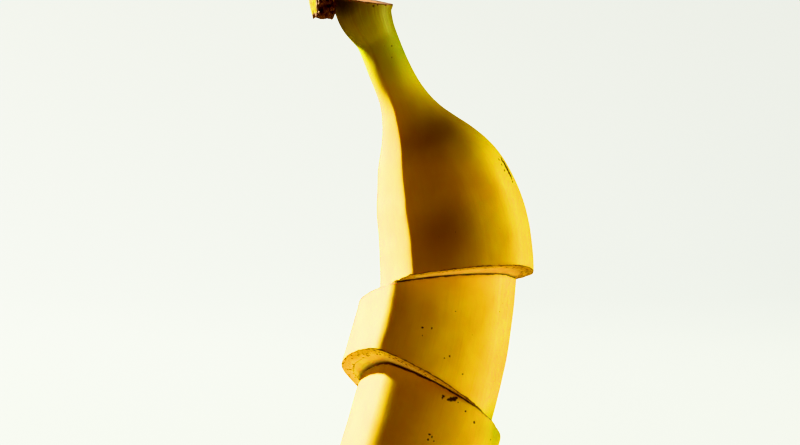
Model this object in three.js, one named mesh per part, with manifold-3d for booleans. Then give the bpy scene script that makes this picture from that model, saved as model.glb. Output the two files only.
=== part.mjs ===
// A ripe banana in its peel, cut crosswise into three chunks and stood up again, stem on top.
// Each chunk has slid a little on the one below it, so that a crescent of every cut face shows.
// Millimetres, +Z up. The origin is the centre of the lowest cut, which the banana stands on.
// The front faces -Y. The banana bends towards -X at its two ends, in a plane turned slightly
// about Z, so that its inner side comes round to the front.

import * as THREE from "three";
import { mergeVertices } from "three/addons/utils/BufferGeometryUtils.js";
import Module from "manifold-3d";

const wasm = await Module();
wasm.setup();

// Driving dimensions, in mm and degrees
const PEEL_THICKNESS = 3.0;
const CLEARANCE = 0.3; // between peel and flesh, and between one chunk and the next
const BEND_TURN = 16; // how far the plane of the bend is turned about Z from the XZ plane
const AROUND = 36; // points round a section
const RINGS_PER_SPAN = 2; // rings of points from each given section to the next

// The fruit's five sides. turn is the way each side faces, counted anticlockwise from above
// and from the outside of the bend, and reach is how far out it lies.
const SIDES = [
  { turn: -175, reach: 0.9 },
  { turn: -103, reach: 0.9 },
  { turn: -31, reach: 1.17 },
  { turn: 41, reach: 0.94 },
  { turn: 113, reach: 1.04 },
];
const RIDGE_SHARPNESS = 3.8; // a higher number makes the five ridges sharper

// A cut rises by slopeX for each mm in X and by slopeY for each mm in Y.
const UPPER_CUT = { height: 58.0, slopeX: 0.12, slopeY: -0.225 };
const LOWER_CUT = { height: 35.5, slopeX: -0.51, slopeY: -0.49 };
const BASE_CUT = { height: 0, slopeX: 0, slopeY: 0 };
const CROWN_CUT = { height: 132.4, slopeX: -0.15, slopeY: 0.16 };
const STUB_BREAK = { height: 73.4, slopeX: 1.4, slopeY: -3.6 };

// Each chunk's sections, as [height, centre in X, half width]. depthRatio is its half depth
// over its half width, and slide is how far it has slid in Y off the lowest chunk.
const TOP_CHUNK = {
  slide: -10.7,
  depthRatio: 0.86,
  sections: [
    [50, 16.2, 18.0],
    [57, 16.9, 18.3],
    [66, 17.1, 18.5],
    [75.5, 16.0, 18.1],
    [85.5, 13.1, 16.5],
    [94, 9.3, 12.9],
    [101, 6.0, 8.3],
    [107, 3.3, 5.9],
    [114, 0.0, 5.3],
    [121, -2.9, 5.2],
    [124, -4.5, 6.0],
    [127, -5.9, 6.9],
    [130.5, -6.7, 7.4],
    [136, -8.2, 7.8],
    [143, -9.8, 8.0],
  ],
};
const MIDDLE_CHUNK = {
  slide: -1.6,
  depthRatio: 0.95,
  sections: [
    [10, -3.0, 19.9],
    [30, 5.2, 19.5],
    [50, 10.7, 18.8],
    [70, 13.7, 17.7],
  ],
};
const LOWER_CHUNK = {
  slide: 0,
  depthRatio: 1.0,
  sections: [
    [-14, -6.3, 17.1],
    [9, 3.5, 18.0],
    [32, 10.6, 18.2],
    [55, 14.8, 17.7],
  ],
};

// The flesh narrows to a blunt tip inside the top chunk, below the stem.
const FLESH_SHOULDER = 88;
const FLESH_TIP = 103;

// What is left of the next finger of the bunch, as [height, centre in X, half width].
const STUB = {
  slide: -8.0,
  depthRatio: 1.35,
  sections: [
    [126.7, -16.3, 2.5],
    [131, -15.9, 3.9],
    [136, -14.0, 5.5],
    [143, -12.0, 6.0],
  ],
};

// The stem leans forward, from the shoulder of the top chunk upwards.
const LEAN = { from: 76, to: 108, forward: 6 };

const PEEL_COLOUR = "#e2bb1c";
const FLESH_COLOUR = "#f0d49a";

const bendTurn = THREE.MathUtils.degToRad(BEND_TURN);

// How far the lean of the stem has brought the fruit forward at a height
function leanAt(height) {
  return LEAN.forward * THREE.MathUtils.smoothstep(height, LEAN.from, LEAN.to);
}

// The outline that every section shares, scaled to reach 1 each way from its middle.
function fiveSidedOutline() {
  const points = [];
  for (let i = 0; i < AROUND; i += 1) {
    const angle = (2 * Math.PI * i) / AROUND;
    let sum = 0;
    for (const side of SIDES) {
      const facing = Math.cos(angle - THREE.MathUtils.degToRad(side.turn));
      sum += (Math.max(0, facing) / side.reach) ** RIDGE_SHARPNESS;
    }
    const radius = sum ** (-1 / RIDGE_SHARPNESS);
    points.push(new THREE.Vector2(radius * Math.cos(angle), radius * Math.sin(angle)));
  }
  const box = new THREE.Box2().setFromPoints(points);
  const middle = box.getCenter(new THREE.Vector2());
  const half = box.getSize(new THREE.Vector2()).multiplyScalar(0.5);
  return points.map((point) => point.sub(middle).divide(half));
}

const outline = fiveSidedOutline();

// A smooth curve through a chunk's sections. Each of its points holds a section's centre in X,
// its half width and its height, in that order.
function sectionCurve(chunk) {
  const points = chunk.sections.map(
    ([height, centreX, halfWidth]) => new THREE.Vector3(centreX, halfWidth, height),
  );
  return new THREE.CatmullRomCurve3(points, false, "centripetal");
}

// A chunk's rings of points from its bottom to its top, inset from the skin by the given depth
// and lowered by drop. shrink(height) narrows them further, and none is made from top upwards.
function chunkRings(chunk, { inset = 0, shrink = () => 1, top = Infinity, drop = 0 } = {}) {
  const curve = sectionCurve(chunk);
  const steps = (chunk.sections.length - 1) * RINGS_PER_SPAN;
  const back = new THREE.Vector3(-Math.sin(bendTurn), Math.cos(bendTurn), 0);
  const leans = chunk === TOP_CHUNK || chunk === STUB;
  const rings = [];
  for (let i = 0; i <= steps; i += 1) {
    const { x, y: halfWidth, z } = curve.getPoint(i / steps);
    if (z >= top) {
      break;
    }
    const centre = new THREE.Vector3(x, chunk.slide + x * Math.tan(bendTurn), z - drop);
    centre.y -= leans ? leanAt(z) : 0;
    const along = curve.getTangent(i / steps);
    along.set(along.x, along.x * Math.tan(bendTurn), along.z).normalize();
    const outward = back.clone().cross(along).normalize();
    const ring = outline.map((point) => {
      const spoke = new THREE.Vector3()
        .addScaledVector(outward, point.x * halfWidth)
        .addScaledVector(back, point.y * halfWidth * chunk.depthRatio);
      spoke.setLength((spoke.length() - inset) * shrink(z));
      return spoke.add(centre);
    });
    rings.push(ring);
  }
  return rings;
}

// A closed solid through rings of points that run anticlockwise seen from above, lowest first
function loft(rings) {
  const count = rings[0].length;
  const middleOf = (ring) =>
    ring.reduce((sum, point) => sum.add(point), new THREE.Vector3()).divideScalar(count);
  const vertices = [...rings.flat(), middleOf(rings[0]), middleOf(rings.at(-1))];
  const lowCentre = vertices.length - 2;
  const highCentre = vertices.length - 1;
  const lastRing = (rings.length - 1) * count;
  const indices = [];
  for (let j = 0; j < count; j += 1) {
    const next = (j + 1) % count;
    for (let start = 0; start < lastRing; start += count) {
      const above = start + count;
      indices.push(start + j, start + next, above + next);
      indices.push(start + j, above + next, above + j);
    }
    indices.push(lowCentre, next, j);
    indices.push(highCentre, lastRing + j, lastRing + next);
  }
  const geometry = new THREE.BufferGeometry().setFromPoints(vertices);
  geometry.setIndex(indices);
  return toSolid(geometry);
}

// A closed mesh made into a solid that can be joined and cut, and turned back into a mesh
function toSolid(geometry) {
  const bare = geometry.clone();
  bare.deleteAttribute("normal");
  bare.deleteAttribute("uv");
  const welded = mergeVertices(bare);
  return new wasm.Manifold(
    new wasm.Mesh({
      numProp: 3,
      vertProperties: new Float32Array(welded.attributes.position.array),
      triVerts: new Uint32Array(welded.index.array),
    }),
  );
}

function toGeometry(solid) {
  const mesh = solid.getMesh();
  const geometry = new THREE.BufferGeometry();
  geometry.setAttribute("position", new THREE.BufferAttribute(mesh.vertProperties, 3));
  geometry.setIndex(new THREE.BufferAttribute(mesh.triVerts, 1));
  geometry.computeVertexNormals();
  return geometry;
}

// Everything on one side of a cut, as a large block. side is 1 above the cut and -1 below it,
// and the block stands back from the cut by the given distance.
function sideOfCut(cut, side, standBack = 0) {
  const size = 400;
  const normal = new THREE.Vector3(-cut.slopeX, -cut.slopeY, 1).normalize();
  const block = new THREE.BoxGeometry(size, size, size);
  block.applyQuaternion(
    new THREE.Quaternion().setFromUnitVectors(new THREE.Vector3(0, 0, 1), normal),
  );
  const centre = new THREE.Vector3(0, 0, cut.height);
  centre.addScaledVector(normal, side * (size / 2 + standBack));
  block.translate(centre.x, centre.y, centre.z);
  return toSolid(block);
}

// Full size at the shoulder, closing to nothing at the tip, like the end of an ellipse
function fleshShrink(height) {
  const climb = (height - FLESH_SHOULDER) / (FLESH_TIP - FLESH_SHOULDER);
  return climb <= 0 ? 1 : Math.sqrt(Math.max(0, 1 - climb ** 2));
}

const chunks = { top: TOP_CHUNK, middle: MIDDLE_CHUNK, lower: LOWER_CHUNK };

// A chunk's skin, before the cuts. The top one's stem flares into the crown of the bunch, with
// the broken stub of the next finger beside it.
function skin(name) {
  const body = loft(chunkRings(chunks[name]));
  if (name !== "top") {
    return body;
  }
  const stub = loft(chunkRings(STUB)).subtract(sideOfCut(STUB_BREAK, -1));
  return body.add(stub).subtract(sideOfCut(CROWN_CUT, 1));
}

// What fills a chunk's peel, clear of it by the given gap
function filling(name, gap) {
  const inset = PEEL_THICKNESS + gap;
  if (name !== "top") {
    return loft(chunkRings(chunks[name], { inset }));
  }
  return loft(chunkRings(TOP_CHUNK, { inset, shrink: fleshShrink, top: FLESH_TIP, drop: gap }));
}

// The block of space that each chunk keeps to, between the cut above it and the cut below it
const spaces = {
  top: sideOfCut(UPPER_CUT, 1),
  middle: sideOfCut(UPPER_CUT, -1, CLEARANCE).intersect(sideOfCut(LOWER_CUT, 1)),
  lower: sideOfCut(LOWER_CUT, -1, CLEARANCE).intersect(sideOfCut(BASE_CUT, 1)),
};

function material(colour, roughness) {
  return new THREE.MeshStandardMaterial({ color: colour, roughness, metalness: 0 });
}

const banana = new THREE.Group();
for (const name of Object.keys(chunks)) {
  const peel = skin(name).subtract(filling(name, 0)).intersect(spaces[name]);
  const flesh = filling(name, CLEARANCE).intersect(spaces[name]);
  const peelMesh = new THREE.Mesh(toGeometry(peel), material(PEEL_COLOUR, 0.45));
  const fleshMesh = new THREE.Mesh(toGeometry(flesh), material(FLESH_COLOUR, 0.6));
  peelMesh.name = `peel_${name}`;
  fleshMesh.name = `flesh_${name}`;
  banana.add(peelMesh, fleshMesh);
}

export default banana;
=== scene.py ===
import math

import bpy
from mathutils import Matrix, Vector, noise
from mathutils.geometry import interpolate_bezier


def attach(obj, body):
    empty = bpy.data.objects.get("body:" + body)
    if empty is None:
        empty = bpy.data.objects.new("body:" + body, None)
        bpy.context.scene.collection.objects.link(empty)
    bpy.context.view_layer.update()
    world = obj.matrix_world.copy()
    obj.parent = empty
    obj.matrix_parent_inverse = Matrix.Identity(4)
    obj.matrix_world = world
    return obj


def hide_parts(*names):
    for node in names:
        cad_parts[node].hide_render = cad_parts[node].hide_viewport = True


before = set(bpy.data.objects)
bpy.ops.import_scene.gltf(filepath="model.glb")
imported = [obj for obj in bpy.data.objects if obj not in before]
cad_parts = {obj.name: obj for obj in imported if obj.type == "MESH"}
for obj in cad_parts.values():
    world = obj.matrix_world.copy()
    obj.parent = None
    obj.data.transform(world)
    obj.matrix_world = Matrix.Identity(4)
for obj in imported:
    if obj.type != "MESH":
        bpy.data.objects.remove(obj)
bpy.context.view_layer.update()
MM = 0.001


# ---------------------------------------------------------------------------------------
# The camera: level, square on to the fruit a little above its middle, on a long lens
camera_data = bpy.data.cameras.new("studio_camera")
camera_data.lens = 100
camera_data.sensor_width = 36
camera = bpy.data.objects.new("studio_camera", camera_data)
camera.location = (2.65 * MM, -560.6 * MM, 76 * MM)
camera.rotation_euler = (math.radians(90), 0, 0)
bpy.context.scene.collection.objects.link(camera)
bpy.context.scene.camera = camera


# ---------------------------------------------------------------------------------------
# The peel of the top chunk: leathery, ridged skin about 3 mm thick that narrows into the solid
# stem and flares into the crown, where the fruit was cut from its bunch. A knife cut it off
# below, and its flesh ends in a blunt tip inside it.
BEND_TURN = math.radians(16)
SIDE_BULGE = 1.8
PLACES_ALONG_SIDE = (0, 0.02, 0.055, 0.12, 0.21, 0.34, 0.5, 0.66, 0.79, 0.88, 0.945, 0.98)


def side_distance(angle, side):
    """How far off one gently bulging side lies at an angle, from the middle of the fruit."""
    turn, reach = side[:2]
    off_square = angle - math.radians(turn)
    back = SIDE_BULGE - reach
    out = math.sqrt(SIDE_BULGE**2 - (back * math.sin(off_square)) ** 2)
    return out - back * math.cos(off_square)


def ridge_between(side, next_side):
    """The angle at which two sides next to each other meet."""
    low, high = math.radians(side[0]), math.radians(next_side[0])
    high += 2 * math.pi if high < low else 0
    for _ in range(40):
        middle = (low + high) / 2
        if side_distance(middle, side) < side_distance(middle, next_side):
            low = middle
        else:
            high = middle
    return low


def ridged_outline(sides):
    """The fruit's outline, reaching 1 each way from its middle, with points crowded at ridges.

    A side is the way it faces, how far out it lies, and how sharp the ridge is at its end.
    """
    ends = [ridge_between(side, after) for side, after in zip(sides, sides[1:] + sides[:1])]
    points = []
    for i, side in enumerate(sides):
        start, end, start_sharpness = ends[i - 1], ends[i], sides[i - 1][2]
        end += 2 * math.pi if end < start else 0
        for place in PLACES_ALONG_SIDE:
            angle = start + (end - start) * place
            sharpness = start_sharpness + (side[2] - start_sharpness) * place
            total = sum(side_distance(angle, other) ** -sharpness for other in sides)
            radius = total ** (-1 / sharpness)
            points.append(Vector((radius * math.cos(angle), radius * math.sin(angle))))
    low = Vector((min(p.x for p in points), min(p.y for p in points)))
    high = Vector((max(p.x for p in points), max(p.y for p in points)))
    middle, half = (low + high) / 2, (high - low) / 2
    return [Vector(((p.x - middle.x) / half.x, (p.y - middle.y) / half.y)) for p in points]


def smooth_sections(rows, per_span=3):
    """Rows of (height, centre, half width), with more put between them on a smooth curve."""
    points = [Vector(row) for row in rows]
    slopes = []
    for before, after in zip(points[:1] + points[:-1], points[1:] + points[-1:]):
        slopes.append((after - before) / (after[0] - before[0]))
    run = []
    for i in range(len(points) - 1):
        start, end = points[i], points[i + 1]
        third = (end[0] - start[0]) / 3
        run += interpolate_bezier(
            start, start + slopes[i] * third, end - slopes[i + 1] * third, end, per_span + 1
        )[:-1]
    return run + points[-1:]


def turn_ring(angle, section):
    """Tips what is selected about the section's centre. The operator turns the other way."""
    bpy.ops.transform.rotate(
        value=-angle, orient_axis="Y", center_override=(section[1], 0, section[0])
    )


def grow(name, outline, rows, depth_ratio, slide):
    """A ridged stick: the outline pulled up through its sections, ring by ring."""
    run = [Vector((h, c / math.cos(BEND_TURN), w)) * MM for h, c, w in smooth_sections(rows)]
    bpy.ops.object.select_all(action="DESELECT")
    bpy.ops.mesh.primitive_circle_add(vertices=len(outline), radius=MM, fill_type="NGON")
    stick = bpy.context.object
    stick.name = stick.data.name = name
    height, centre, width = run[0]
    for vertex, point in zip(stick.data.vertices, outline):
        across, back = point * width
        vertex.co = (centre + across, back * depth_ratio, height)
    bpy.ops.object.mode_set(mode="EDIT")
    bpy.ops.mesh.select_all(action="SELECT")
    leans = []
    for low, high in zip(run[:1] + run[:-1], run[1:] + run[-1:]):
        leans.append(math.atan2(high[1] - low[1], high[0] - low[0]))
    turn_ring(leans[0], run[0])
    for i in range(1, len(run)):
        step = run[i] - run[i - 1]
        bpy.ops.mesh.extrude_region_move(TRANSFORM_OT_translate={"value": (step[1], 0, step[0])})
        growth = run[i][2] / run[i - 1][2]
        middle = (run[i][1], 0, run[i][0])
        bpy.ops.transform.resize(value=(growth, growth, growth), center_override=middle)
        turn_ring(leans[i] - leans[i - 1], run[i])
    bpy.ops.object.mode_set(mode="OBJECT")
    place = Matrix.Translation((0, slide * MM, 0)) @ Matrix.Rotation(BEND_TURN, 4, "Z")
    stick.data.transform(place)
    return stick


def along(line, place):
    """A point on the smooth curve through a line of points, at a place such as 2.5."""
    i = min(max(int(place), 0), len(line) - 2)
    t = place - i
    before, start, end, after = (
        line[min(max(k, 0), len(line) - 1)] for k in range(i - 1, i + 3)
    )
    bend = (2 * before - 5 * start + 4 * end - after) * t * t
    twist = (3 * start - before - 3 * end + after) * t * t * t
    return (2 * start + (end - before) * t + bend + twist) / 2


def height_over(cut, point):
    """How far a point lies above a cut, straight up, in metres."""
    height, slope_x, slope_y = cut
    return point.z - height * MM - slope_x * point.x - slope_y * point.y


def crossing(line, cut):
    """The place at which a line of points passes through a cut."""
    low, high = 0, len(line) - 1
    for _ in range(30):
        middle = (low + high) / 2
        if height_over(cut, along(line, middle)) < 0:
            low = middle
        else:
            high = middle
    return low


# Two rings of points stand this far in from each cut, in mm, and keep its rim crisp
RIM_LOOP = 0.3
SECOND_LOOP = 1.1
GRAIN_RADIUS_MM = 18


def trim(stick, outline, low_cut, high_cut):
    """Slides the points of every lengthwise line so that it runs from one cut to the other.

    Each point then knows its place in the skin's grain, and how far it lies from a cut in mm.
    """
    stick.data.attributes.new("grain", "FLOAT_VECTOR", "POINT")
    stick.data.attributes.new("edge", "FLOAT", "POINT")
    vertices = stick.data.vertices
    grain, edge = stick.data.attributes["grain"], stick.data.attributes["edge"]
    around = len(outline)
    rings = len(vertices) // around
    for j in range(around):
        line = [vertices[k * around + j].co.copy() for k in range(rings)]
        low, high = crossing(line, low_cut), crossing(line, high_cut)
        low_mm = MM * 0.1 / (along(line, low + 0.1) - along(line, low)).length
        high_mm = MM * 0.1 / (along(line, high) - along(line, high - 0.1)).length
        places = [low, low + RIM_LOOP * low_mm, low + SECOND_LOOP * low_mm]
        end = [high - SECOND_LOOP * high_mm, high - RIM_LOOP * high_mm, high]
        inner = rings - 5  # the other rings are spread evenly between these six
        places += [places[2] + (end[0] - places[2]) * k / inner for k in range(1, inner)] + end
        for k, place in enumerate(places):
            point = along(line, place)
            vertices[k * around + j].co = point
            grain.data[k * around + j].vector = (*(outline[j] * GRAIN_RADIUS_MM * MM), point.z)
            edge.data[k * around + j].value = min(
                (point - along(line, low)).length, (point - along(line, high)).length
            ) / MM


def work_on(piece):
    """Selects the piece and nothing else, in object mode."""
    bpy.ops.object.mode_set(mode="OBJECT")
    bpy.ops.object.select_all(action="DESELECT")
    piece.select_set(True)
    bpy.context.view_layer.objects.active = piece


def select_faces(piece, chosen):
    """Selects the faces that a test picks out, and nothing else, in edit mode."""
    work_on(piece)
    for part in (piece.data.vertices, piece.data.edges):
        part.foreach_set("select", [False] * len(part))
    for face in piece.data.polygons:
        face.select = chosen(face)
    bpy.ops.object.mode_set(mode="EDIT")
    bpy.ops.mesh.select_mode(type="FACE")


def middle_of_selected(piece):
    """The middle of the box round what is selected."""
    bpy.ops.object.mode_set(mode="OBJECT")
    points = [vertex.co for vertex in piece.data.vertices if vertex.select]
    low = Vector(min(point[k] for point in points) for k in range(3))
    high = Vector(max(point[k] for point in points) for k in range(3))
    bpy.ops.object.mode_set(mode="EDIT")
    return (low + high) / 2


def give_new_faces(piece, slot, old_count):
    """Gives a material to the faces round the points added since there were old_count."""
    for face in piece.data.polygons:
        if max(face.vertices) >= old_count:
            face.material_index = slot


BODY_RADIUS_MM = 17.0


def step_in(piece, scales, radius=BODY_RADIUS_MM):
    """Insets the selected cut face towards its middle, once for each scale of its first size."""
    middle = middle_of_selected(piece)
    slot = next(face.material_index for face in piece.data.polygons if face.select)
    scale_now = 1
    for scale in scales:
        count = len(piece.data.vertices)
        ratio = scale / scale_now
        bpy.ops.mesh.extrude_region_move(TRANSFORM_OT_translate={"value": (0, 0, 0)})
        bpy.ops.transform.resize(value=(ratio, ratio, ratio), center_override=middle)
        bpy.ops.object.mode_set(mode="OBJECT")
        grain, edge = piece.data.attributes["grain"].data, piece.data.attributes["edge"].data
        for i in range(count, len(piece.data.vertices)):
            x, y, _ = grain[i].vector
            grain[i].vector = (x * ratio, y * ratio, piece.data.vertices[i].co.z)
            edge[i].value += (scale_now - scale) * radius
        give_new_faces(piece, slot, count)
        bpy.ops.object.mode_set(mode="EDIT")
        scale_now = scale


SKIN_CORNERS = 4


def is_cut_face(face):
    """Says whether a face has more corners than the skin's faces do."""
    return len(face.vertices) > SKIN_CORNERS


def faces_down(face):
    return is_cut_face(face) and face.normal.z < 0


def faces_up(face):
    return is_cut_face(face) and face.normal.z > 0


def use_material(piece, slot, chosen):
    """Gives the faces that a test picks out the piece's material of that number."""
    bpy.ops.object.mode_set(mode="OBJECT")
    for face in piece.data.polygons:
        if chosen(face):
            face.material_index = slot


def lift_off(piece, chosen, name):
    """Copies the faces that a test picks out into a piece of their own."""
    select_faces(piece, chosen)
    bpy.ops.mesh.duplicate()
    bpy.ops.mesh.separate(type="SELECTED")
    bpy.ops.object.mode_set(mode="OBJECT")
    copy = [other for other in bpy.context.selected_objects if other != piece][0]
    copy.name = copy.data.name = name
    return copy


def finish_skin(piece, levels=2):
    """Subdivides the piece's faces into a smooth skin."""
    work_on(piece)
    modifier = piece.modifiers.new("skin", "SUBSURF")
    modifier.levels = modifier.render_levels = levels
    bpy.ops.object.modifier_apply(modifier=modifier.name)
    bpy.ops.object.shade_smooth()


RIM_REACH_MM = 1.4


def weather(piece, dents=0.1, rim=0.12, seed=0.0):
    """Moves the points a little, in mm: low dents all over, and a wavy, torn line at the rims.

    What each place is divided by is the size of that unevenness, in mm.
    """
    edge = piece.data.attributes["edge"].data
    shift = Vector((seed, seed, seed))
    heights = [vertex.co.z for vertex in piece.data.vertices]
    middle = (min(heights) + max(heights)) / 2 / MM
    moved = []
    for vertex in piece.data.vertices:
        at = vertex.co / MM
        push = noise.noise(at / 9 + shift) * dents + noise.noise(at / 3.2 + shift) * dents * 0.3
        near = max(0.0, 1 - edge[vertex.index].value / RIM_REACH_MM)
        wave = noise.noise(at / 2.1 - shift) + 0.7 * noise.noise(at / 0.8 + shift)
        tear = max(0.0, noise.noise(at / 1.6 + 3 * shift) - 0.45) * 3
        moved.append(vertex.co + vertex.normal * push * MM * (1 - near))
        away = 1 if at.z < middle else -1
        moved[-1].z += near * (wave + away * tear) * rim * MM
    for vertex, place in zip(piece.data.vertices, moved):
        vertex.co = place


def add_node(tree, kind, inputs=None, **settings):
    """Adds a shader node with its settings. An input is a value or another node's output.

    A MapRange turns the span from input 1 to 2 into that from 3 to 4, or from 0 to 1. A Mix
    takes how much in input 0, and colours in 6 and 7 or numbers in 2 and 3.
    """
    node = tree.nodes.new("ShaderNode" + kind)
    for name, value in settings.items():
        setattr(node, name, value)
    for key, value in (inputs or {}).items():
        if isinstance(value, bpy.types.NodeSocket):
            tree.links.new(value, node.inputs[key])
        else:
            node.inputs[key].default_value = value
    return node


def linear(hex_colour):
    """An sRGB hex colour as the linear one that a shader takes."""
    parts = [int(hex_colour[i : i + 2], 16) / 255 for i in (1, 3, 5)]
    bent = [p / 12.92 if p <= 0.04045 else ((p + 0.055) / 1.055) ** 2.4 for p in parts]
    return (*bent, 1)


# Waxy banana peel: a thin, waxy cuticle over yellow, fleshy skin. It has a soft sheen, fine
# fibres along its length, faint mottling, small brown freckles and a few bruises. It is still
# a little green at the neck, and it has turned brown along every cut.
RIPE_YELLOW = "#EFD03A"
DEEP_YELLOW = "#E6BF24"
UNRIPE_LIME = "#8C9412"
FIBRE_BROWN = "#A8791A"
FRECKLE_BROWN = "#48250A"
OXIDISED_BROWN = "#4A2208"
MOTTLE_MM = 9.0
FIBRE_WIDTH_MM = 0.7
FIBRE_LENGTH_MM = 11.0
FRECKLE_SPACING_MM = 3.4
PORE_SPACING_MM = 0.45
RIM_LINE_MM = 0.13
RIM_WAVES_PER_MM = 0.65
RAGS_PER_MM = 1.4
RAG_DEPTH_MM = 0.7
GREEN_FROM_MM, GREEN_TO_MM = 102, 118

# Bruises, scars and specks, each a place in mm and a half width in mm
BLEMISHES = (
    # on the lowest chunk: bruises under its cut, specks beside them and a faint cluster
    (13.3, -14.5, 33.3, 0.4),
    (13.0, -14.5, 32.9, 0.28),
    (14.6, -14.3, 32.5, 0.45),
    (15.2, -14.3, 32.5, 0.6),
    (15.9, -14.1, 32.6, 0.6),
    (16.5, -14.0, 32.9, 0.42),
    (16.9, -13.9, 31.7, 0.18),
    (18.8, -13.4, 29.5, 0.18),
    (21.0, -12.4, 26.7, 0.36),
    (22.3, -11.6, 24.8, 0.14),
    (25.2, -8.5, 22.1, 0.25),
    (9.9, -15.3, 24.0, 0.3),
    (10.4, -15.3, 23.4, 0.32),
    (9.5, -15.4, 22.8, 0.28),
    (10.9, -15.2, 22.4, 0.24),
    # on the middle chunk: scattered specks
    (8.2, -16.8, 50.3, 0.25),
    (10.4, -16.6, 50.1, 0.21),
    (8.2, -17.0, 48.4, 0.15),
    (16.3, -15.2, 54.2, 0.14),
    (20.5, -13.7, 48.4, 0.14),
    (14.8, -16.1, 43.2, 0.24),
    (13.5, -16.4, 42.7, 0.21),
    (28.1, -8.5, 55.9, 0.14),
    (27.3, -9.3, 53.9, 0.13),
    (18.0, -14.9, 38.7, 0.16),
    # on the stem
    (0.6, -20.4, 118.9, 0.22),
    (0.7, -20.6, 116.2, 0.17),
    # a long dark scratch down the top chunk's shoulder, with a faint one beside it
    (27.7, -12.7, 91.8, 0.45),
    (27.9, -13.1, 91.2, 0.62),
    (28.4, -12.5, 90.6, 0.78),
    (28.8, -12.6, 89.8, 0.88),
    (29.2, -12.5, 89.1, 0.92),
    (29.5, -12.4, 88.3, 0.88),
    (29.9, -12.2, 87.6, 0.72),
    (30.2, -12.5, 86.9, 0.5),
    (30.4, -12.7, 86.1, 0.35),
    (27.0, -15.0, 91.5, 0.3),
    (27.6, -15.1, 90.2, 0.34),
    (28.3, -15.0, 88.8, 0.34),
    # cracks in the crown's skin, just under its cut
    (-3.8, -23.8, 128.4, 0.35),
    (-2.8, -23.4, 128.8, 0.32),
    (-0.9, -21.8, 128.7, 0.3),
)
# A greener patch that the lowest chunk has at its right, with its half width
GREEN_PATCH = (27.0, -6.0, 24.0)
GREEN_PATCH_MM = 9.0
# The front of the top chunk is painted browner round these places, over these half widths: partly
# riper skin, partly painted shade from a hollow in the skin
BRONZE_AND_SHADE = "#96600A"
BRONZE_AND_SHADE_PATCHES = (
    (7.0, -32.0, 92.0, 20.0),
    (15.5, -27.0, 80.0, 16.0),
    (14.0, -26.0, 69.0, 17.0),
    (14.0, -19.0, 101.0, 15.0),
)
BRONZE_AND_SHADE_IN_ONE = 0.8
BRONZE_AND_SHADE_MOST = 0.85
# The crown's skin is browner than the stem's, from this height up
CROWN_OLIVE = "#6E4C10"
CROWN_FROM_MM, CROWN_TO_MM = 119.0, 130.0
# It is darkest beside the broken stub, round this place: partly dried, corky skin, partly painted
# shade where the stub shades it
STAIN_AND_SHADE_BROWN = "#2E1A0A"
CROWN_STAIN_AND_SHADE = (-10.6, -23.0, 129.6)
CROWN_STAIN_AND_SHADE_MM = 4.6

waxy_peel = bpy.data.materials.new("waxy_banana_peel")
waxy_peel.use_nodes = True
tree = waxy_peel.node_tree
place = add_node(tree, "TexCoord").outputs["Object"]
height = add_node(tree, "SeparateXYZ", {0: place}).outputs["Z"]
grain = add_node(tree, "Attribute", attribute_name="grain").outputs["Vector"]
edge = add_node(tree, "Attribute", attribute_name="edge").outputs["Fac"]

mottle = add_node(
    tree, "TexNoise", {"Vector": place, "Scale": 1 / (MOTTLE_MM * MM), "Detail": 4}
).outputs["Fac"]
mottling = add_node(tree, "MapRange", {0: mottle, 1: 0.36, 2: 0.64}).outputs[0]
fibre_way = add_node(
    tree,
    "Mapping",
    {
        "Vector": grain,
        "Scale": (1000 / FIBRE_WIDTH_MM, 1000 / FIBRE_WIDTH_MM, 1000 / FIBRE_LENGTH_MM),
    },
).outputs[0]
fibres = add_node(tree, "TexNoise", {"Vector": fibre_way, "Scale": 1, "Detail": 3}).outputs["Fac"]
fibre_mask = add_node(tree, "MapRange", {0: fibres, 1: 0.5, 2: 0.85, 4: 0.14}).outputs[0]
pores = add_node(
    tree, "TexVoronoi", {"Vector": place, "Scale": 1 / (PORE_SPACING_MM * MM)}
).outputs["Distance"]

waver = add_node(
    tree, "TexNoise", {"Vector": place, "Scale": RAGS_PER_MM / MM, "Detail": 3}
).outputs["Color"]
waver_shift = add_node(
    tree, "VectorMath", {0: waver, 1: (0.5, 0.5, 0.5)}, operation="SUBTRACT"
).outputs[0]
waver_small = add_node(
    tree, "VectorMath", {0: waver_shift, "Scale": RAG_DEPTH_MM * MM}, operation="SCALE"
).outputs[0]
ragged_place = add_node(tree, "VectorMath", {0: place, 1: waver_small}, operation="ADD").outputs[0]
green_low = add_node(
    tree, "MapRange", {0: height, 1: GREEN_FROM_MM * MM, 2: GREEN_TO_MM * MM, 4: 0.96}
).outputs[0]
green_waver = add_node(tree, "MapRange", {0: mottle, 1: 0.3, 2: 0.7, 3: 0.75}).outputs[0]
green = add_node(
    tree, "Math", {0: green_low, 1: green_waver}, operation="MULTIPLY"
).outputs[0]
patch_gap = add_node(
    tree,
    "VectorMath",
    {0: place, 1: tuple(part * MM for part in GREEN_PATCH)},
    operation="DISTANCE",
).outputs["Value"]
patch = add_node(
    tree, "MapRange", {0: patch_gap, 1: 2 * MM, 2: GREEN_PATCH_MM * MM, 3: 0.75, 4: 0}
).outputs[0]
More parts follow.
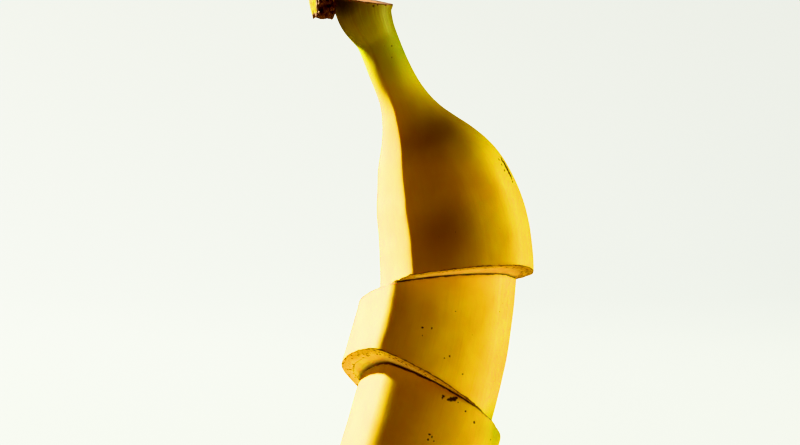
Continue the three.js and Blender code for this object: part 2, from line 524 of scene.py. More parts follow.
# Painted shade: the top chunk's front is darkened in these patches, partly riper skin, partly the
# shade of a hollow in it
bronze_and_shade = 0.0
for x, y, z, half_width in BRONZE_AND_SHADE_PATCHES:
    gap = add_node(
        tree, "VectorMath", {0: place, 1: (x * MM, y * MM, z * MM)}, operation="DISTANCE"
    ).outputs["Value"]
    spot = add_node(
        tree,
        "MapRange",
        {0: gap, 1: 0, 2: half_width * MM, 3: BRONZE_AND_SHADE_IN_ONE, 4: 0},
        interpolation_type="SMOOTHSTEP",
    ).outputs[0]
    bronze_and_shade = add_node(tree, "Math", {0: bronze_and_shade, 1: spot}, operation="ADD").outputs[0]
bronze_and_shade = add_node(tree, "Math", {0: bronze_and_shade, 1: BRONZE_AND_SHADE_MOST}, operation="MINIMUM").outputs[0]
# Painted shade: the crown is darkened round this place beside the stub, where the stub shades it,
# over its dried, corky skin
stain_and_shade_gap = add_node(
    tree,
    "VectorMath",
    {0: ragged_place, 1: tuple(part * MM for part in CROWN_STAIN_AND_SHADE)},
    operation="DISTANCE",
).outputs["Value"]
stain_and_shade = add_node(
    tree, "MapRange", {0: stain_and_shade_gap, 1: 1.8 * MM, 2: CROWN_STAIN_AND_SHADE_MM * MM, 3: 0.92, 4: 0}
).outputs[0]
crown_low = add_node(
    tree, "MapRange", {0: height, 1: CROWN_FROM_MM * MM, 2: CROWN_TO_MM * MM, 4: 0.85}
).outputs[0]
crown_waver = add_node(tree, "MapRange", {0: fibres, 1: 0.35, 2: 0.6, 3: 0.6}).outputs[0]
browning = add_node(
    tree, "Math", {0: crown_low, 1: crown_waver}, operation="MULTIPLY"
).outputs[0]

freckles = add_node(
    tree, "TexVoronoi", {"Vector": place, "Scale": 1 / (FRECKLE_SPACING_MM * MM)}
)
freckle_size = add_node(
    tree, "MapRange", {0: freckles.outputs["Color"], 1: 0.55, 2: 1.0, 3: 0.0, 4: 0.085}
).outputs[0]
freckle_edge = add_node(
    tree,
    "Math",
    {0: freckle_size, 1: freckles.outputs["Distance"]},
    operation="SUBTRACT",
).outputs[0]
freckle_mask = add_node(tree, "MapRange", {0: freckle_edge, 1: 0, 2: 0.03, 4: 0.8}).outputs[0]

marks = freckle_mask
for x, y, z, half_width in BLEMISHES:
    gap = add_node(
        tree,
        "VectorMath",
        {0: ragged_place, 1: (x * MM, y * MM, z * MM)},
        operation="DISTANCE",
    ).outputs["Value"]
    spot = add_node(
        tree,
        "MapRange",
        {0: gap, 1: 0.65 * half_width * MM, 2: 1.15 * half_width * MM, 3: 1, 4: 0},
    ).outputs[0]
    marks = add_node(tree, "Math", {0: marks, 1: spot}, operation="MAXIMUM").outputs[0]

rim_waver = add_node(
    tree, "TexNoise", {"Vector": place, "Scale": RIM_WAVES_PER_MM / MM, "Detail": 2}
).outputs["Fac"]
rim_width = add_node(
    tree, "MapRange", {0: rim_waver, 1: 0.3, 2: 0.7, 3: 0.1 * RIM_LINE_MM, 4: 1.7 * RIM_LINE_MM}
).outputs[0]
rim_gap = add_node(tree, "Math", {0: edge, 1: rim_width}, operation="SUBTRACT").outputs[0]
rim_mask = add_node(tree, "MapRange", {0: rim_gap, 1: 0.0, 2: 0.12, 3: 0.9, 4: 0}).outputs[0]
rim_glow = add_node(tree, "MapRange", {0: edge, 1: 0.1, 2: 0.8, 3: 0.25, 4: 0}).outputs[0]

colour = linear(DEEP_YELLOW)
for mask, top in (
    (mottling, RIPE_YELLOW),
    (green, UNRIPE_LIME),
    (patch, UNRIPE_LIME),
    # painted shade and riper browning on the top chunk's front
    (bronze_and_shade, BRONZE_AND_SHADE),
    (browning, CROWN_OLIVE),
    # painted shade beside the stub, over the crown's dried skin
    (stain_and_shade, STAIN_AND_SHADE_BROWN),
    (fibre_mask, FIBRE_BROWN),
    (rim_glow, FIBRE_BROWN),
    (marks, FRECKLE_BROWN),
    (rim_mask, OXIDISED_BROWN),
):
    colour = add_node(
        tree, "Mix", {0: mask, 6: colour, 7: linear(top)}, data_type="RGBA"
    ).outputs[2]
roughness = add_node(tree, "MapRange", {0: fibres, 1: 0.3, 2: 0.7, 3: 0.44, 4: 0.58}).outputs[0]
roughness = add_node(tree, "Mix", {0: marks, 2: roughness, 3: 0.7}).outputs[0]
relief = add_node(tree, "Bump", {"Height": fibres, "Strength": 0.15, "Distance": 0.04 * MM})
for bumps, strength, depth_mm in ((pores, 0.25, 0.03), (marks, 0.4, -0.05)):
    relief = add_node(
        tree,
        "Bump",
        {
            "Height": bumps,
            "Strength": strength,
            "Distance": depth_mm * MM,
            "Normal": relief.outputs[0],
        },
    )
shader = tree.nodes["Principled BSDF"]
shader.inputs["IOR"].default_value = 1.45
shader.inputs["Specular IOR Level"].default_value = 0.4
shader.inputs["Subsurface Weight"].default_value = 0.3
shader.inputs["Subsurface Radius"].default_value = (1.0, 0.4, 0.05)
shader.inputs["Subsurface Scale"].default_value = 1.6 * MM
tree.links.new(colour, shader.inputs["Base Color"])
tree.links.new(roughness, shader.inputs["Roughness"])
tree.links.new(relief.outputs[0], shader.inputs["Normal"])


# Cut banana peel: golden just under the skin, paler and pithy inside, with strings through it
# that ooze small dots of brown sap. It is moist, and dries brown in specks and along its rim.
CUT_GOLD = "#CDB61E"
PITH_CREAM = "#EEDD94"
SAP_BROWN = "#6B3A10"
STRING_SPACING_MM = 0.9
SPECKLES_PER_MM = 1.7
CUT_WAVES_PER_MM = 0.35

cut_peel = bpy.data.materials.new("cut_banana_peel")
cut_peel.use_nodes = True
tree = cut_peel.node_tree
place = add_node(tree, "TexCoord").outputs["Object"]
edge = add_node(tree, "Attribute", attribute_name="edge").outputs["Fac"]
speckle = add_node(
    tree, "TexNoise", {"Vector": place, "Scale": SPECKLES_PER_MM / MM, "Detail": 4}
).outputs["Fac"]
waver = add_node(
    tree, "TexNoise", {"Vector": place, "Scale": CUT_WAVES_PER_MM / MM, "Detail": 3}
).outputs["Fac"]
depth_shift = add_node(tree, "MapRange", {0: waver, 1: 0.3, 2: 0.7, 3: -0.5, 4: 0.5}).outputs[0]
depth = add_node(tree, "Math", {0: edge, 1: depth_shift}, operation="ADD").outputs[0]
pith = add_node(tree, "MapRange", {0: depth, 1: 1.2, 2: 2.4, 4: 0.9}).outputs[0]
strings = add_node(
    tree, "TexVoronoi", {"Vector": place, "Scale": 1 / (STRING_SPACING_MM * MM)}
)
sap_size = add_node(
    tree, "MapRange", {0: strings.outputs["Color"], 1: 0.4, 2: 0.62, 3: 0.08, 4: 0.42}
).outputs[0]
sap_gap = add_node(
    tree, "Math", {0: sap_size, 1: strings.outputs["Distance"]}, operation="SUBTRACT"
).outputs[0]
sap_dots = add_node(tree, "MapRange", {0: sap_gap, 1: 0, 2: 0.06, 4: 0.9}).outputs[0]
drying = add_node(tree, "MapRange", {0: speckle, 1: 0.52, 2: 0.66, 4: 0.7}).outputs[0]
rim_gap = add_node(tree, "MapRange", {0: waver, 1: 0.35, 2: 0.7, 3: -0.05, 4: 0.16}).outputs[0]
rim_out = add_node(tree, "Math", {0: edge, 1: rim_gap}, operation="SUBTRACT").outputs[0]
rim_mask = add_node(tree, "MapRange", {0: rim_out, 1: 0, 2: 0.12, 3: 0.85, 4: 0}).outputs[0]
colour = linear(CUT_GOLD)
for mask, top in (
    (pith, PITH_CREAM),
    (drying, FIBRE_BROWN),
    (sap_dots, SAP_BROWN),
    (rim_mask, OXIDISED_BROWN),
):
    colour = add_node(
        tree, "Mix", {0: mask, 6: colour, 7: linear(top)}, data_type="RGBA"
    ).outputs[2]
relief = add_node(tree, "Bump", {"Height": speckle, "Strength": 0.5, "Distance": 0.15 * MM})
shader = tree.nodes["Principled BSDF"]
shader.inputs["Roughness"].default_value = 0.45
shader.inputs["IOR"].default_value = 1.4
shader.inputs["Subsurface Weight"].default_value = 0.1
shader.inputs["Subsurface Radius"].default_value = (1.0, 0.6, 0.2)
shader.inputs["Subsurface Scale"].default_value = 1.0 * MM
tree.links.new(colour, shader.inputs["Base Color"])
tree.links.new(relief.outputs[0], shader.inputs["Normal"])


# The crown's cut wood: tan, with bundles of fibres that end in it. It has dried rust brown in
# patches, and dark brown from its rim inwards.
CROWN_TAN = "#8F5A36"
CROWN_RUST = "#57290F"
BUNDLES_PER_MM = 1.1
RUST_PATCHES_PER_MM = 0.3

cut_crown = bpy.data.materials.new("cut_banana_crown")
cut_crown.use_nodes = True
tree = cut_crown.node_tree
place = add_node(tree, "TexCoord").outputs["Object"]
edge = add_node(tree, "Attribute", attribute_name="edge").outputs["Fac"]
bundles = add_node(
    tree, "TexVoronoi", {"Vector": place, "Scale": BUNDLES_PER_MM / MM}
).outputs["Distance"]
rust = add_node(
    tree, "TexNoise", {"Vector": place, "Scale": RUST_PATCHES_PER_MM / MM, "Detail": 5}
).outputs["Fac"]
rust_mask = add_node(tree, "MapRange", {0: rust, 1: 0.4, 2: 0.68, 4: 0.85}).outputs[0]
rim_mask = add_node(tree, "MapRange", {0: edge, 1: 1.5, 2: 5.5, 3: 1.0, 4: 0}).outputs[0]
colour = linear(CROWN_TAN)
for mask, top in ((rust_mask, CROWN_RUST), (rim_mask, OXIDISED_BROWN)):
    colour = add_node(
        tree, "Mix", {0: mask, 6: colour, 7: linear(top)}, data_type="RGBA"
    ).outputs[2]
relief = add_node(tree, "Bump", {"Height": rust, "Strength": 0.7, "Distance": 0.4 * MM})
relief = add_node(
    tree,
    "Bump",
    {
        "Height": bundles,
        "Strength": 0.6,
        "Distance": 0.2 * MM,
        "Normal": relief.outputs[0],
    },
)
shader = tree.nodes["Principled BSDF"]
shader.inputs["Roughness"].default_value = 0.75
shader.inputs["IOR"].default_value = 1.45
tree.links.new(colour, shader.inputs["Base Color"])
tree.links.new(relief.outputs[0], shader.inputs["Normal"])

# The ways that its sides face, how far out each lies, and how sharp the ridge at its end is
TOP_SIDES = (
    (-170, 0.74, 45),
    (-105.4, 0.726, 14),
    (-72.1, 1.007, 18),
    (-29, 0.965, 24),
    (46.3, 0.812, 24),
    (113.7, 0.904, 28),
)
TOP_SLIDE = -10.3
TOP_DEPTH_RATIO = 0.84
# Height, centre across and half width of its sections, in mm
TOP_SECTIONS = (
    (50, 16.2, 18.0),
    (57, 16.9, 18.3),
    (66, 17.1, 18.5),
    (75.5, 16.0, 18.1),
    (85.5, 13.1, 16.5),
    (94, 9.3, 12.9),
    (101, 6.0, 8.3),
    (107, 3.3, 5.9),
    (114, 0.0, 5.3),
    (121, -2.9, 5.2),
    (124, -4.5, 6.0),
    (127, -5.9, 6.9),
    (130.5, -6.5, 7.6),
    (136, -7.8, 8.1),
    (143, -9.4, 8.4),
)
# A cut's height in the middle in mm, and how much it rises across and backwards
UPPER_CUT = (58.0, 0.12, -0.225)
CROWN_CUT = (131.9, -0.15, 0.16)
# The rings on a cut face, each as a share of its outline. The last ring of the peel's is where
# the flesh starts.
PEEL_STEPS = (0.984, 0.95, 0.905, 0.86, 0.846, 0.842)
CROWN_STEPS = (0.96, 0.88, 0.74, 0.56, 0.36, 0.16, 0.04)
CROWN_RADIUS_MM = 8
# The hollow that the flesh fills: its half width at the cut in mm, then its sections as above
HOLLOW_START_MM = 15.4
TOP_HOLLOW = (
    (68, 17.1, 15.6),
    (76, 16.0, 15.1),
    (84, 13.9, 13.7),
    (91, 11.2, 11.0),
    (96, 8.9, 7.9),
    (100, 7.2, 4.6),
    (102.4, 6.2, 1.6),
    (103, 6.0, 0.3),
)


def pull_up(piece, chosen):
    """Pulls the chosen face up through the hollow's sections, to its blunt tip."""
    select_faces(piece, chosen)
    centre, width_now = middle_of_selected(piece), HOLLOW_START_MM
    count = len(piece.data.vertices)
    for height, across, width in TOP_HOLLOW:
        after = Vector((across, TOP_SLIDE + across * math.tan(BEND_TURN), height)) * MM
        bpy.ops.mesh.extrude_region_move(TRANSFORM_OT_translate={"value": after - centre})
        ratio = width / width_now
        bpy.ops.transform.resize(value=(ratio, ratio, ratio), center_override=after)
        centre, width_now = after, width
    bpy.ops.object.mode_set(mode="OBJECT")
    give_new_faces(piece, 1, count)


# The stem leans out to the front, over these heights in mm
LEAN_FROM, LEAN_TO = 76, 108
LEAN_MM = 6.0


def ease(value, low, high):
    """How far a value has come from low to high, from 0 to 1, with a soft start and end."""
    part = min(max((value - low) / (high - low), 0), 1)
    return part * part * (3 - 2 * part)


def lean_forward(piece):
    """Bends the piece's upper end to the front, each point along its own line to the camera."""
    for vertex in piece.data.vertices:
        forward = LEAN_MM * MM * ease(vertex.co.z / MM, LEAN_FROM, LEAN_TO)
        away = vertex.co - camera.location
        vertex.co -= away * forward / away.y


# The stem is turned about its own line, over these heights in mm, and its ridges fade into it
TURN_FROM, TURN_TO = 81, 116
STEM_TURN = math.radians(12)
FADE_FROM, FADE_TO = 84, 112
RIDGE_FADE = 0.85
KEPT_AT_RIDGE = 0.75


def fade_ridges(ring, outline, amount):
    """Moves the ring's points towards a plain oval of the same size, but less at one ridge."""
    kept_ridge = outline[len(PLACES_ALONG_SIDE)].normalized()
    thirds = [len(ring) // 3 * i for i in range(3)]
    start, second, third = (outline[i] for i in thirds)
    spread = Matrix((second - start, third - start)).inverted()
    edges = [ring[i].co - ring[0].co for i in thirds[1:]]
    across, back = (edges[0] * row[0] + edges[1] * row[1] for row in spread)
    for vertex, point in zip(ring, outline):
        nearness = max(0, point.normalized().dot(kept_ridge)) ** 6
        shift = (point.normalized() - point) * amount * (1 - KEPT_AT_RIDGE * nearness)
        vertex.co += across * shift.x + back * shift.y


def turn_stem(stick, outline):
    """Turns the stem's rings, so that its ridges wind round it, and keeps each ring's width."""
    vertices = stick.data.vertices
    for start in range(0, len(vertices), len(outline)):
        ring = vertices[start : start + len(outline)]
        centre = sum((vertex.co for vertex in ring), Vector()) / len(outline)
        fade_ridges(ring, outline, RIDGE_FADE * ease(centre.z / MM, FADE_FROM, FADE_TO))
        turn = Matrix.Rotation(STEM_TURN * ease(centre.z / MM, TURN_FROM, TURN_TO), 3, "Z")
        left, right = (pick(vertex.co.x for vertex in ring) for pick in (min, max))
        turned = [centre + turn @ (vertex.co - centre) for vertex in ring]
        new_left, new_right = (pick(point.x for point in turned) for pick in (min, max))
        for vertex, point in zip(ring, turned):
            point.x = left + (point.x - new_left) * (right - left) / (new_right - new_left)
            vertex.co = point


top_outline = ridged_outline(TOP_SIDES)
peel_top = grow("peel_of_top_chunk", top_outline, TOP_SECTIONS, TOP_DEPTH_RATIO, TOP_SLIDE)
turn_stem(peel_top, top_outline)
trim(peel_top, top_outline, UPPER_CUT, CROWN_CUT)
for material in (waxy_peel, cut_peel, cut_crown):
    peel_top.data.materials.append(material)
use_material(peel_top, 1, faces_down)
use_material(peel_top, 2, faces_up)
select_faces(peel_top, faces_up)
step_in(peel_top, CROWN_STEPS, CROWN_RADIUS_MM)
select_faces(peel_top, faces_down)
step_in(peel_top, PEEL_STEPS)
bpy.ops.mesh.vertices_smooth(repeat=2)
flesh_top = lift_off(peel_top, faces_down, "flesh_of_top_chunk")
pull_up(peel_top, faces_down)
lean_forward(peel_top)
finish_skin(peel_top)
weather(peel_top, seed=2.0)
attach(peel_top, "root")
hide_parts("peel_top")


# ---------------------------------------------------------------------------------------
# The broken stub of the next finger of the bunch: its stalk grew from the same crown, and was
# torn away sideways. That left skin outside, and dark, dried strings where it tore.
STUB_SIDES = ((-175, 0.95, 9), (-100, 0.95, 9), (-25, 0.95, 9), (50, 0.95, 9), (120, 0.95, 9))
STUB_SLIDE = -8.0
STUB_DEPTH_RATIO = 1.35
STUB_SECTIONS = (
    (126.7, -16.3, 2.5),
    (131, -15.9, 3.9),
    (136, -14.0, 5.5),
    (143, -12.0, 6.0),
)
STUB_BREAK = (95, 1.4, -3.6)
STUB_GRID_MM = 0.28
# How far the tear reaches in from the break and up from the foot, and how close to the break
# dried strings take the place of skin
TORN_DEPTH_MM = 0.8
TORN_FOOT_MM = 1.6
STRINGS_WITHIN_MM = 0.35

# Dried strings: a dull, dark red-brown tangle, lighter at its tips and almost black in clots
STRING_BROWN = "#5C3022"
TIP_TAN = "#94623F"
CLOT_BROWN = "#34150D"
STRINGS_PER_MM, STRINGS_PER_MM_ALONG = 2.2, 0.7
CLOTS_PER_MM = 1.9

dry_strings = bpy.data.materials.new("dried_banana_strings")
dry_strings.use_nodes = True
tree = dry_strings.node_tree
place = add_node(tree, "TexCoord").outputs["Object"]
string_way = add_node(
    tree,
    "Mapping",
    {
        "Vector": place,
        "Scale": (STRINGS_PER_MM / MM, STRINGS_PER_MM / MM, STRINGS_PER_MM_ALONG / MM),
    },
).outputs[0]
strings = add_node(tree, "TexNoise", {"Vector": string_way, "Scale": 1, "Detail": 4}).outputs["Fac"]
clots = add_node(
    tree, "TexVoronoi", {"Vector": place, "Scale": CLOTS_PER_MM / MM}
).outputs["Distance"]
tips = add_node(tree, "MapRange", {0: strings, 1: 0.52, 2: 0.74, 4: 0.8}).outputs[0]
dark = add_node(tree, "MapRange", {0: clots, 1: 0.1, 2: 0.6, 3: 0.5, 4: 0}).outputs[0]
colour = linear(STRING_BROWN)
for mask, top in ((tips, TIP_TAN), (dark, CLOT_BROWN)):
    colour = add_node(
        tree, "Mix", {0: mask, 6: colour, 7: linear(top)}, data_type="RGBA"
    ).outputs[2]
relief = add_node(tree, "Bump", {"Height": strings, "Strength": 0.9, "Distance": 0.5 * MM})
shader = tree.nodes["Principled BSDF"]
shader.inputs["Roughness"].default_value = 0.8
tree.links.new(colour, shader.inputs["Base Color"])
tree.links.new(relief.outputs[0], shader.inputs["Normal"])


def slice_off(piece, cut, below):
    """Cuts a closed piece along a cut, and keeps what lies above or below it."""
    height, slope_x, slope_y = cut
    work_on(piece)
    bpy.ops.object.mode_set(mode="EDIT")
    bpy.ops.mesh.select_all(action="SELECT")
    bpy.ops.mesh.bisect(
        plane_co=(0, 0, height * MM),
        plane_no=(-slope_x, -slope_y, 1),
        use_fill=True,
        clear_inner=not below,
        clear_outer=below,
    )
    bpy.ops.object.mode_set(mode="OBJECT")


def distance_over(cut, point):
    """How far a point lies above a cut, square to it, in mm."""
    _, slope_x, slope_y = cut
    return height_over(cut, point) / math.sqrt(1 + slope_x**2 + slope_y**2) / MM


stub = grow("broken_stub", ridged_outline(STUB_SIDES), STUB_SECTIONS, STUB_DEPTH_RATIO, STUB_SLIDE)
slice_off(stub, STUB_BREAK, below=False)
slice_off(stub, CROWN_CUT, below=True)
remesh = stub.modifiers.new("even", "REMESH")
remesh.mode = "VOXEL"
remesh.voxel_size = STUB_GRID_MM * MM
bpy.ops.object.modifier_apply(modifier=remesh.name)
bpy.ops.object.shade_smooth()
stub.data.attributes.new("grain", "FLOAT_VECTOR", "POINT")
stub.data.attributes.new("edge", "FLOAT", "POINT")
grain, edge = stub.data.attributes["grain"], stub.data.attributes["edge"]
stub_foot = min(vertex.co.z for vertex in stub.data.vertices) / MM
for material in (waxy_peel, dry_strings, cut_crown):
    stub.data.materials.append(material)
for face in stub.data.polygons:
    foot_line = TORN_FOOT_MM / 2 + 0.5 * noise.noise(face.center / MM)
    foot = face.center.z / MM - stub_foot < foot_line
    if distance_over(STUB_BREAK, face.center) < STRINGS_WITHIN_MM or foot:
        face.material_index = 1
    elif distance_over(CROWN_CUT, face.center) > -0.2:
        face.material_index = 2
for vertex in stub.data.vertices:
    from_break = distance_over(STUB_BREAK, vertex.co)
    from_crown = -distance_over(CROWN_CUT, vertex.co)
    grain.data[vertex.index].vector = vertex.co
    edge.data[vertex.index].value = max(0.0, min(from_break, from_crown))
    torn = max(0.0, 1 - from_break / TORN_DEPTH_MM)
    at = vertex.co / MM
    strand = noise.noise(Vector((at.x / 0.6, at.y / 0.6, at.z / 1.7)))
    lump = noise.noise(at / 1.9)
    out = vertex.normal * (0.5 * strand + 0.5 * lump) * torn
    low = max(0.0, 1 - (at.z - stub_foot) / TORN_FOOT_MM)
    out.z += 1.1 * noise.noise(Vector((at.x / 0.9, at.y / 0.9, 4))) * low
    vertex.co += (out + vertex.normal * 0.12 * noise.noise(at / 1.5)) * MM
lean_forward(stub)
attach(stub, "root")
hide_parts("peel_top")


# ---------------------------------------------------------------------------------------
# The peels of the two chunks below: lengths of the same skin, cut through at both ends with a
# knife, so that each is a leathery tube round its flesh. Their cuts slope as the knife went.
MIDDLE_SIDES = (
    (-175, 1.0, 45),
    (-94, 0.87, 8),
    (-24, 1.17, 14),
    (41, 0.94, 24),
    (113, 1.04, 30),
)
LOWER_SIDES = (
    (-175, 1.02, 45),
    (-101, 0.87, 8),
    (-31, 1.17, 12),
    (41, 0.94, 24),
    (113, 1.04, 30),
)
LOWER_CUT = (35.5, -0.51, -0.49)
BASE_CUT = (0, 0, 0)
CLEARANCE = 0.2  # from one chunk to the next, in mm
WALL_RINGS = 5
MIDDLE_SLIDE = -1.6
MIDDLE_DEPTH_RATIO = 0.95
MIDDLE_SECTIONS = ((10, -3.0, 19.9), (30, 5.2, 19.5), (50, 10.7, 18.8), (70, 13.7, 17.7))
LOWER_SLIDE = 0
LOWER_DEPTH_RATIO = 1.0
LOWER_SECTIONS = ((-14, -6.3, 17.1), (9, 3.5, 18.0), (32, 10.6, 18.2), (55, 14.8, 17.7))


def just_under(cut):
    """The lower side of a knife cut, which stands back a little from its upper side."""
    return (cut[0] - CLEARANCE, *cut[1:])


def join_ends(piece):
    """Joins a piece's two open ends by a wall with rings in it, and picks the wall's faces."""
    bpy.ops.mesh.select_mode(type="EDGE")
    bpy.ops.mesh.select_all(action="DESELECT")
    bpy.ops.mesh.select_non_manifold()
    bpy.ops.mesh.bridge_edge_loops(number_cuts=WALL_RINGS, interpolation="LINEAR")
    bpy.ops.mesh.select_mode(type="FACE")
    bpy.ops.object.mode_set(mode="OBJECT")


def cut_chunk(place_name, outline, sections, depth_ratio, slide, cuts):
    """A chunk's tube of peel, and the two faces that its flesh starts from."""
    peel = grow("peel_of_" + place_name, outline, sections, depth_ratio, slide)
    trim(peel, outline, *cuts)
    peel.data.materials.append(waxy_peel)
    peel.data.materials.append(cut_peel)
    use_material(peel, 1, is_cut_face)
    for end in (faces_down, faces_up):
        select_faces(peel, end)
        step_in(peel, PEEL_STEPS)
        bpy.ops.mesh.vertices_smooth(repeat=2)
    flesh = lift_off(peel, is_cut_face, "flesh_of_" + place_name)
    select_faces(peel, is_cut_face)
    bpy.ops.mesh.delete(type="ONLY_FACE")
    join_ends(peel)
    use_material(peel, 1, lambda face: face.select)
    finish_skin(peel)
    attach(peel, "root")
    return peel, flesh


peel_middle, flesh_middle = cut_chunk(
    "middle_chunk",
    ridged_outline(MIDDLE_SIDES),
    MIDDLE_SECTIONS,
    MIDDLE_DEPTH_RATIO,
    MIDDLE_SLIDE,
    (LOWER_CUT, just_under(UPPER_CUT)),
)
weather(peel_middle, seed=5.0)
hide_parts("peel_middle")
peel_lower, flesh_lower = cut_chunk(
    "lower_chunk",
    ridged_outline(LOWER_SIDES),
    LOWER_SECTIONS,
    LOWER_DEPTH_RATIO,
    LOWER_SLIDE,
    (BASE_CUT, just_under(LOWER_CUT)),
)
weather(peel_lower, seed=8.0)
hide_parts("peel_lower")


# ---------------------------------------------------------------------------------------
# The flesh of the three chunks: soft, moist fruit that fills the peel and shows where the
# knife went through. It is cream to peach, with three seams that meet in a core of tiny seeds.
FLESH_CREAM = "#F0E2B0"
FLESH_PEACH = "#EBCB9A"
CORE_TAN = "#C99A5E"
SEED_BROWN = "#4E3018"
FLESH_STEPS = (0.996, 0.95, 0.8, 0.6, 0.4, 0.2, 0.05)
FLESH_RADIUS_MM = 14.5
FLESH_GAP = 0.02  # from the peel to the flesh, in mm
SEEDS_PER_MM = 0.62
CLOUDS_PER_MM = 0.26
PULP_PER_MM = 1.5

soft_flesh = bpy.data.materials.new("ripe_banana_flesh")
soft_flesh.use_nodes = True
tree = soft_flesh.node_tree
place = add_node(tree, "TexCoord").outputs["Object"]
grain = add_node(tree, "Attribute", attribute_name="grain").outputs["Vector"]
edge = add_node(tree, "Attribute", attribute_name="edge").outputs["Fac"]
across = add_node(tree, "SeparateXYZ", {0: grain})
turn = add_node(
    tree, "Math", {0: across.outputs["Y"], 1: across.outputs["X"]}, operation="ARCTAN2"
).outputs[0]
turn = add_node(tree, "Math", {0: turn, 1: 1.5}, operation="MULTIPLY").outputs[0]
turn = add_node(tree, "Math", {0: turn}, operation="COSINE").outputs[0]
turn = add_node(tree, "Math", {0: turn}, operation="ABSOLUTE").outputs[0]
flat_grain = add_node(
    tree, "CombineXYZ", {0: across.outputs["X"], 1: across.outputs["Y"]}
).outputs[0]
out = add_node(tree, "VectorMath", {0: flat_grain}, operation="LENGTH").outputs["Value"]
near_core = add_node(tree, "MapRange", {0: out, 1: 5 * MM, 2: 9 * MM, 3: 1, 4: 0}).outputs[0]
seam = add_node(tree, "MapRange", {0: turn, 1: 0.0, 2: 0.14, 3: 0.7, 4: 0}).outputs[0]
seam = add_node(tree, "Math", {0: seam, 1: near_core}, operation="MULTIPLY").outputs[0]
core = add_node(tree, "MapRange", {0: out, 1: 1.5 * MM, 2: 6 * MM, 3: 0.55, 4: 0}).outputs[0]
seeds = add_node(
    tree, "TexVoronoi", {"Vector": grain, "Scale": SEEDS_PER_MM / MM}
).outputs["Distance"]
seeds = add_node(tree, "MapRange", {0: seeds, 1: 0.16, 2: 0.26, 3: 0.9, 4: 0}).outputs[0]
near_seeds = add_node(tree, "MapRange", {0: out, 1: 3 * MM, 2: 4.4 * MM, 3: 1, 4: 0}).outputs[0]
seeds = add_node(tree, "Math", {0: seeds, 1: near_seeds}, operation="MULTIPLY").outputs[0]
cloud = add_node(
    tree, "TexNoise", {"Vector": place, "Scale": CLOUDS_PER_MM / MM, "Detail": 4}
).outputs["Fac"]
peach = add_node(tree, "MapRange", {0: cloud, 1: 0.38, 2: 0.66, 4: 0.85}).outputs[0]
pulp = add_node(
    tree, "TexNoise", {"Vector": place, "Scale": PULP_PER_MM / MM, "Detail": 4}
).outputs["Fac"]
skin_side = add_node(tree, "MapRange", {0: edge, 1: 2.7, 2: 3.6, 3: 0.1, 4: 0}).outputs[0]
colour = linear(FLESH_CREAM)
for mask, top in (
    (peach, FLESH_PEACH),
    (skin_side, CUT_GOLD),
    (core, CORE_TAN),
    (seam, CORE_TAN),
    (seeds, SEED_BROWN),
):
    colour = add_node(
        tree, "Mix", {0: mask, 6: colour, 7: linear(top)}, data_type="RGBA"
    ).outputs[2]
wetness = add_node(tree, "MapRange", {0: cloud, 1: 0.3, 2: 0.7, 3: 0.3, 4: 0.5}).outputs[0]
relief = add_node(tree, "Bump", {"Height": pulp, "Strength": 0.5, "Distance": 0.2 * MM})
shader = tree.nodes["Principled BSDF"]
shader.inputs["IOR"].default_value = 1.38
shader.inputs["Subsurface Weight"].default_value = 0.6
shader.inputs["Subsurface Radius"].default_value = (1.0, 0.7, 0.35)
shader.inputs["Subsurface Scale"].default_value = 3.0 * MM
tree.links.new(colour, shader.inputs["Base Color"])
tree.links.new(wetness, shader.inputs["Roughness"])
tree.links.new(relief.outputs[0], shader.inputs["Normal"])


def fill_peel(flesh, node):
    """Finishes a closed body of flesh: stands it off its peel, and fills in its cut faces."""
    bpy.ops.object.mode_set(mode="EDIT")
    bpy.ops.mesh.select_all(action="SELECT")
    bpy.ops.mesh.normals_make_consistent(inside=False)
    bpy.ops.transform.shrink_fatten(value=-FLESH_GAP * MM)
    for end in (faces_down, faces_up):
        select_faces(flesh, end)
        if flesh.data.total_face_sel:
            step_in(flesh, FLESH_STEPS, FLESH_RADIUS_MM)
    finish_skin(flesh)
    weather(flesh, dents=0.08, rim=0)
    flesh.data.materials.clear()
    flesh.data.materials.append(soft_flesh)
    use_material(flesh, 0, lambda face: True)
    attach(flesh, "root")
    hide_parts(node)


pull_up(flesh_top, is_cut_face)
lean_forward(flesh_top)
fill_peel(flesh_top, "flesh_top")
for flesh, node in ((flesh_middle, "flesh_middle"), (flesh_lower, "flesh_lower")):
    select_faces(flesh, is_cut_face)
    join_ends(flesh)
    fill_peel(flesh, node)


# ---------------------------------------------------------------------------------------
# The floor: a wide, round sheet of pale, cool paper that curves up into a wall all round. It
# glows a little by itself, so that it looks evenly lit.
PAPER_PALE = "#C9D2D1"
PAPER_SHADE = "#6C6571"
PAPER_GLOW = 0.33
TOOTH_PER_MM = 0.9

bpy.ops.object.select_all(action="DESELECT")
bpy.ops.mesh.primitive_circle_add(vertices=96, radius=1.1, fill_type="NGON")
floor = bpy.context.object
floor.name = floor.data.name = "paper_floor"
bpy.ops.object.mode_set(mode="EDIT")
bpy.ops.mesh.select_all(action="SELECT")
bpy.ops.mesh.select_mode(type="EDGE")
bpy.ops.mesh.region_to_loop()
for out, up in ((0.25, 0.03), (0.22, 0.09), (0.17, 0.15), (0.11, 0.2), (0.05, 0.25), (0, 1.5)):
    bpy.ops.mesh.extrude_region_move(TRANSFORM_OT_translate={"value": (0, 0, up)})
    bpy.ops.object.mode_set(mode="OBJECT")
    radius = max(vertex.co.to_2d().length for vertex in floor.data.vertices if vertex.select)
    bpy.ops.object.mode_set(mode="EDIT")
    wider = (radius + out) / radius
    bpy.ops.transform.resize(value=(wider, wider, 1), center_override=(0, 0, 0))
finish_skin(floor, 1)

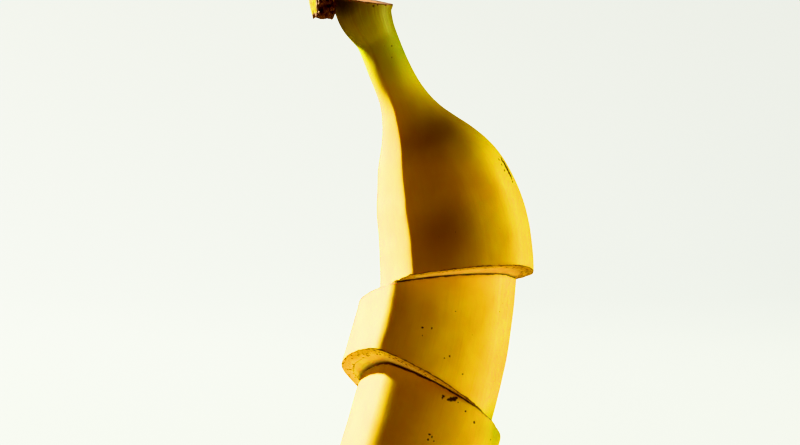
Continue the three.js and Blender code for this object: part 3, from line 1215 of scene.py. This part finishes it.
matt_paper = bpy.data.materials.new("matt_paper")
matt_paper.use_nodes = True
tree = matt_paper.node_tree
place = add_node(tree, "TexCoord").outputs["Object"]
tooth = add_node(
    tree, "TexNoise", {"Vector": place, "Scale": TOOTH_PER_MM / MM, "Detail": 3}
).outputs["Fac"]
relief = add_node(tree, "Bump", {"Height": tooth, "Strength": 0.1, "Distance": 0.1 * MM})
shader = tree.nodes["Principled BSDF"]
shader.inputs["Base Color"].default_value = linear(PAPER_SHADE)
shader.inputs["Roughness"].default_value = 0.9
shader.inputs["Emission Color"].default_value = linear(PAPER_PALE)
shader.inputs["Emission Strength"].default_value = PAPER_GLOW
tree.links.new(relief.outputs[0], shader.inputs["Normal"])
floor.data.materials.append(matt_paper)
floor.visible_diffuse = False
floor.visible_glossy = False
floor.visible_shadow = False


# ---------------------------------------------------------------------------------------
# The light: a small softbox from the left and a little behind, a broad low one on the right,
# two dim ones like light bounced off the floor, and a faint warm glow all round
AMBER_GLOW = (1.0, 0.36, 0.08, 1)
GLOW_STRENGTH = 0.045
LIT_MIDDLE = Vector((0.008, -0.004, 0.075))

studio = bpy.data.worlds.new("studio")
studio.use_nodes = True
glow = studio.node_tree.nodes["Background"]
glow.inputs["Color"].default_value = AMBER_GLOW
glow.inputs["Strength"].default_value = GLOW_STRENGTH
bpy.context.scene.world = studio


def softbox(name, width, direction, distance, watts, colour):
    """A square area light at an azimuth, elevation and distance from the fruit, turned to it."""
    light_data = bpy.data.lights.new(name, "AREA")
    light_data.size = width
    light_data.energy = watts
    light_data.color = colour
    light = bpy.data.objects.new(name, light_data)
    bpy.context.scene.collection.objects.link(light)
    turn, rise = (math.radians(a) for a in direction)
    out = Vector((math.cos(turn) * math.cos(rise), math.sin(turn) * math.cos(rise), math.sin(rise)))
    light.location = LIT_MIDDLE + out * distance
    light.rotation_euler = out.to_track_quat("Z", "Y").to_euler()
    light.visible_camera = False


softbox("key_softbox", 0.12, (158, 36), 2.0, 350, (0.88, 1.0, 0.76))
softbox("right_softbox", 0.6, (0, 1), 1.1, 14.2, (0.88, 1.0, 0.42))
softbox("warm_bounce", 1.2, (-38, -60), 0.9, 4.7, (1.0, 0.52, 0.19))
softbox("pale_bounce", 1.0, (-150, -52), 0.9, 3.0, (1.0, 0.78, 0.38))

scene = bpy.context.scene
scene.view_settings.view_transform = "Khronos PBR Neutral"
scene.view_settings.look = "High Contrast"
